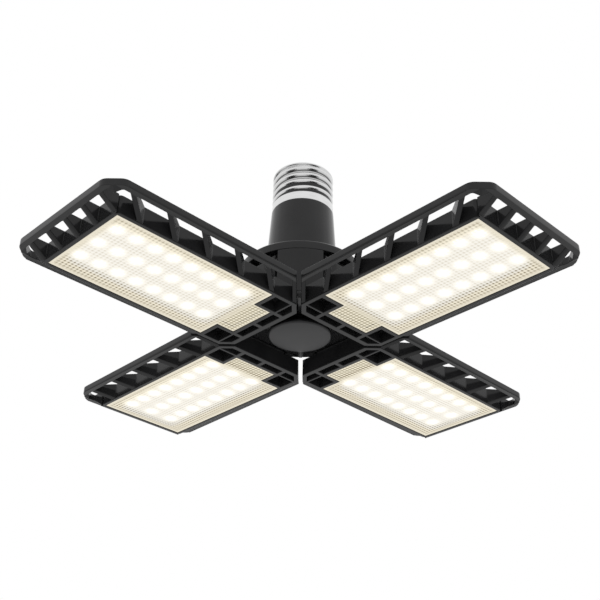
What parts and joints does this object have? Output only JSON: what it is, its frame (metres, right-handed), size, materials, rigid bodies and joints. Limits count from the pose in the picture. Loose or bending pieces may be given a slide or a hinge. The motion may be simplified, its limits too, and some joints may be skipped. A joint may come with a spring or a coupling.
{
  "type": "deformable garage light",
  "caption": "Screw-in LED ceiling lamp with hinged panels round a central hub; each panel is a ribbed black frame with a lit prismatic lens and folds up beside the driver housing.",
  "frame": {"origin": "middle of the screw shell, on its axis", "axes": "+Z along the hub and screw shell, towards the centre contact; +X, +Y, -X and -Y along the panels 1 to 4, which lie flat"},
  "size_m": [0.2272, 0.2272, 0.0878],
  "materials": {
    "hub_plastic": "satin",
    "base_plastic": "matt",
    "button_plastic": "satin",
    "screw_steel": "zinc plated",
    "housing_plastic": "semi-gloss",
    "circuit_board": "solder mask",
    "transformer_tape": "tape",
    "capacitor_sleeve": "shrink sleeve",
    "choke_core": "enamelled wire",
    "shell_metal": "nickel plated",
    "insulator": "gloss",
    "contact_metal": "tinned",
    "frame_metal": "black powder coat, satin",
    "arm_metal": "black powder coat, satin",
    "lens_plastic": "prismatic, lit from behind",
    "led_board_white": "white solder mask",
    "led_phosphor": "phosphor",
    "pin_steel": "plain",
    "washer_plastic": "matt"
  },
  "bodies": {
    "hub": {"hub_body": "hub_plastic", "base_cover": "base_plastic", "centre_button": "button_plastic", "base_screws": "screw_steel", "hub_screws": "screw_steel", "driver_housing": "housing_plastic", "driver_board": "circuit_board", "driver_transformer": "transformer_tape", "driver_capacitors": "capacitor_sleeve", "driver_choke": "choke_core", "screw_shell": "shell_metal", "cap_insulator": "insulator", "cap_contact": "contact_metal", "hinge_pin_1": "pin_steel", "hinge_washers_1": "washer_plastic", "hinge_pin_2": "pin_steel", "hinge_washers_2": "washer_plastic", "hinge_pin_3": "pin_steel", "hinge_washers_3": "washer_plastic", "hinge_pin_4": "pin_steel", "hinge_washers_4": "washer_plastic"},
    "panel_1": {"panel_frame_1": "frame_metal", "hinge_arm_1": "arm_metal", "arm_screws_1": "screw_steel", "lens_1": "lens_plastic", "led_board_1": "led_board_white", "led_chips_1": "led_phosphor", "board_screws_1": "screw_steel"},
    "panel_2": {"panel_frame_2": "frame_metal", "hinge_arm_2": "arm_metal", "arm_screws_2": "screw_steel", "lens_2": "lens_plastic", "led_board_2": "led_board_white", "led_chips_2": "led_phosphor", "board_screws_2": "screw_steel"},
    "panel_3": {"panel_frame_3": "frame_metal", "hinge_arm_3": "arm_metal", "arm_screws_3": "screw_steel", "lens_3": "lens_plastic", "led_board_3": "led_board_white", "led_chips_3": "led_phosphor", "board_screws_3": "screw_steel"},
    "panel_4": {"panel_frame_4": "frame_metal", "hinge_arm_4": "arm_metal", "arm_screws_4": "screw_steel", "lens_4": "lens_plastic", "led_board_4": "led_board_white", "led_chips_4": "led_phosphor", "board_screws_4": "screw_steel"}
  },
  "joints": [
    {"name": "panel_1_hinge", "type": "hinge", "parent": "hub", "child": "panel_1", "pos_m": [0.0195, 0, -0.04895], "axis": [0, -1, 0], "range_deg": [0, 90]},
    {"name": "panel_2_hinge", "type": "hinge", "parent": "hub", "child": "panel_2", "pos_m": [0, 0.0195, -0.04895], "axis": [1, 0, 0], "range_deg": [0, 90]},
    {"name": "panel_3_hinge", "type": "hinge", "parent": "hub", "child": "panel_3", "pos_m": [-0.0195, 0, -0.04895], "axis": [0, 1, 0], "range_deg": [0, 90]},
    {"name": "panel_4_hinge", "type": "hinge", "parent": "hub", "child": "panel_4", "pos_m": [0, -0.0195, -0.04895], "axis": [-1, 0, 0], "range_deg": [0, 90]}
  ]
}
